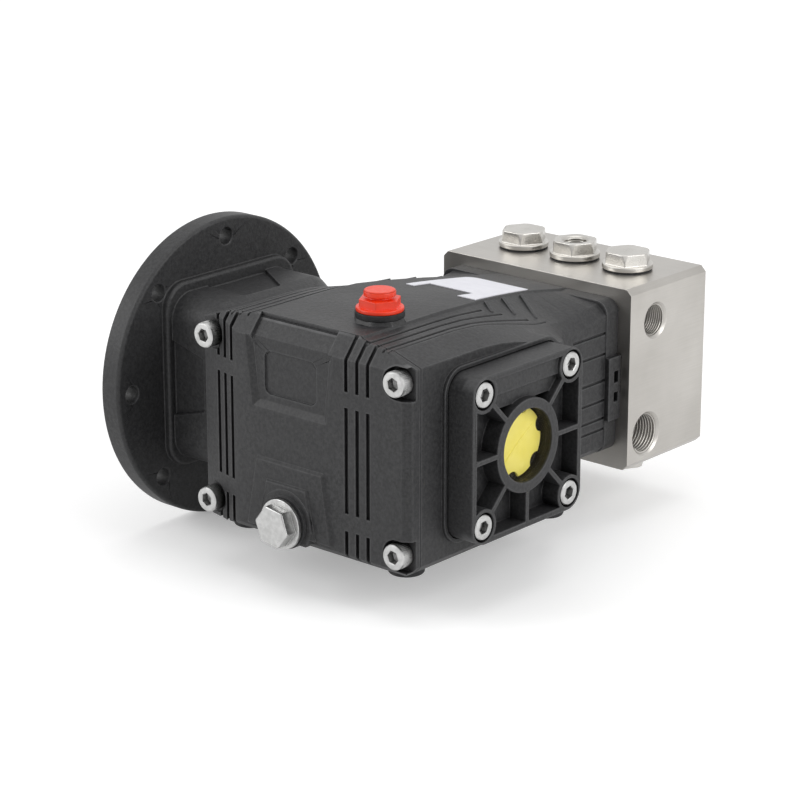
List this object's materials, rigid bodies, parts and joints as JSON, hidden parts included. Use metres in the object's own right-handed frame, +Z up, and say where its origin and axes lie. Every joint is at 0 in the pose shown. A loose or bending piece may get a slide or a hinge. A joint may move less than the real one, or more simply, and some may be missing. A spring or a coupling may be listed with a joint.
{
  "type": "triplex plunger pump",
  "caption": "Flange-mounted triplex plunger pump for a pressure washer: black cast crankcase, steel valve manifold with side ports, red oil filler and round sight glass.",
  "frame": {"origin": "centre of the motor flange's mating face, on the crank axis", "axes": "+X along the crankshaft away from the motor, +Y towards the manifold, +Z up"},
  "size_m": [0.2145, 0.2624, 0.16],
  "materials": {
    "case_black": "matte black coated aluminium casting",
    "seal_black": "matte black rubber",
    "screw_steel": "bright zinc plated steel",
    "bearing_steel": "ground steel",
    "block_steel": "brushed stainless steel",
    "cap_steel": "turned stainless steel",
    "rod_brass": "cast bronze",
    "cast_alloy": "machined cast alloy",
    "ceramic_white": "polished ceramic",
    "lens_clear": "clear moulded lens",
    "plate_yellow": "yellow moulded plate",
    "cap_red": "bright red moulded plastic",
    "label_white": "blank white film"
  },
  "bodies": {
    "casing": {"crankcase": "case_black", "drain_plug": "screw_steel", "drain_washer": "seal_black", "drive_bearing_outer_race": "bearing_steel", "filler_ring": "seal_black", "gallery_plugs": "screw_steel", "gauge_port_cap": "cap_steel", "high_pressure_packings": "seal_black", "housing_screws": "screw_steel", "inlet_spring_1": "cap_steel", "inlet_spring_2": "cap_steel", "inlet_spring_3": "cap_steel", "inlet_valve_caps": "cap_steel", "label_plate": "label_white", "low_pressure_packings": "seal_black", "manifold_block": "block_steel", "manifold_screws": "screw_steel", "motor_flange_housing": "case_black", "oil_seals": "seal_black", "outlet_spring_1": "cap_steel", "outlet_spring_2": "cap_steel", "outlet_spring_3": "cap_steel", "outlet_valve_caps": "cap_steel", "packing_spacers": "rod_brass", "rear_cover": "case_black", "rear_cover_gasket": "seal_black", "rear_cover_screws": "screw_steel", "rubber_feet": "seal_black", "shaft_seal": "seal_black", "side_cover": "case_black", "side_cover_screws": "screw_steel", "sight_glass_lens": "lens_clear", "sight_glass_plate": "plate_yellow", "tail_bearing_outer_race": "bearing_steel", "valve_cages": "cap_steel", "valve_cap_seals": "seal_black", "valve_seats": "cap_steel"},
    "crank": {"crankshaft": "bearing_steel", "drive_bearing_inner_race": "bearing_steel", "tail_bearing_inner_race": "bearing_steel"},
    "filler_cap": {"oil_filler_cap": "cap_red"},
    "rod_1": {"conrod_1": "rod_brass", "wrist_pin_1": "bearing_steel"},
    "piston_1": {"crosshead_1": "cast_alloy", "plunger_1": "ceramic_white"},
    "outlet_poppet_1": {"outlet_valve_1": "cap_steel"},
    "inlet_poppet_1": {"inlet_valve_1": "cap_steel"},
    "rod_2": {"conrod_2": "rod_brass", "wrist_pin_2": "bearing_steel"},
    "piston_2": {"crosshead_2": "cast_alloy", "plunger_2": "ceramic_white"},
    "outlet_poppet_2": {"outlet_valve_2": "cap_steel"},
    "inlet_poppet_2": {"inlet_valve_2": "cap_steel"},
    "rod_3": {"conrod_3": "rod_brass", "wrist_pin_3": "bearing_steel"},
    "piston_3": {"crosshead_3": "cast_alloy", "plunger_3": "ceramic_white"},
    "outlet_poppet_3": {"outlet_valve_3": "cap_steel"},
    "inlet_poppet_3": {"inlet_valve_3": "cap_steel"}
  },
  "joints": [
    {"name": "crank_turn", "type": "hinge", "parent": "casing", "child": "crank", "pos_m": [0.127, 0, 0], "axis": [1, 0, 0], "continuous": true},
    {"name": "rod_turn_1", "type": "hinge", "parent": "crank", "child": "rod_1", "pos_m": [0.092, 0.006, 0], "axis": [1, 0, 0], "continuous": true},
    {"name": "piston_slide_1", "type": "slide", "parent": "casing", "child": "piston_1", "axis": [0, 1, 0], "range_m": [-0.012, 0]},
    {"name": "outlet_lift_1", "type": "slide", "parent": "casing", "child": "outlet_poppet_1", "axis": [0, 0, 1], "range_m": [0, 0.002], "stiffness_N_per_m": 300, "springref_m": -0.002, "deforming": ["outlet_spring_1"]},
    {"name": "inlet_lift_1", "type": "slide", "parent": "casing", "child": "inlet_poppet_1", "axis": [0, 0, 1], "range_m": [0, 0.002], "stiffness_N_per_m": 300, "springref_m": -0.002, "deforming": ["inlet_spring_1"]},
    {"name": "rod_turn_2", "type": "hinge", "parent": "crank", "child": "rod_2", "pos_m": [0.127, -0.003, 0.0052], "axis": [1, 0, 0], "continuous": true},
    {"name": "piston_slide_2", "type": "slide", "parent": "casing", "child": "piston_2", "axis": [0, 1, 0], "range_m": [-0.003, 0.009]},
    {"name": "outlet_lift_2", "type": "slide", "parent": "casing", "child": "outlet_poppet_2", "axis": [0, 0, 1], "range_m": [0, 0.002], "stiffness_N_per_m": 300, "springref_m": -0.002, "deforming": ["outlet_spring_2"]},
    {"name": "inlet_lift_2", "type": "slide", "parent": "casing", "child": "inlet_poppet_2", "axis": [0, 0, 1], "range_m": [0, 0.002], "stiffness_N_per_m": 300, "springref_m": -0.002, "deforming": ["inlet_spring_2"]},
    {"name": "rod_turn_3", "type": "hinge", "parent": "crank", "child": "rod_3", "pos_m": [0.162, -0.003, -0.0052], "axis": [1, 0, 0], "continuous": true},
    {"name": "piston_slide_3", "type": "slide", "parent": "casing", "child": "piston_3", "axis": [0, 1, 0], "range_m": [-0.003, 0.009]},
    {"name": "outlet_lift_3", "type": "slide", "parent": "casing", "child": "outlet_poppet_3", "axis": [0, 0, 1], "range_m": [0, 0.002], "stiffness_N_per_m": 300, "springref_m": -0.002, "deforming": ["outlet_spring_3"]},
    {"name": "inlet_lift_3", "type": "slide", "parent": "casing", "child": "inlet_poppet_3", "axis": [0, 0, 1], "range_m": [0, 0.002], "stiffness_N_per_m": 300, "springref_m": -0.002, "deforming": ["inlet_spring_3"]},
    {"name": "filler_cap_lift", "type": "slide", "parent": "casing", "child": "filler_cap", "axis": [0, 0, 1], "range_m": [0, 0.02]}
  ],
  "couplings": [
    {"joint": "rod_turn_1", "follows": "crank_turn", "ratio": -1},
    {"joint": "rod_turn_2", "follows": "crank_turn", "ratio": -1},
    {"joint": "rod_turn_3", "follows": "crank_turn", "ratio": -1}
  ]
}
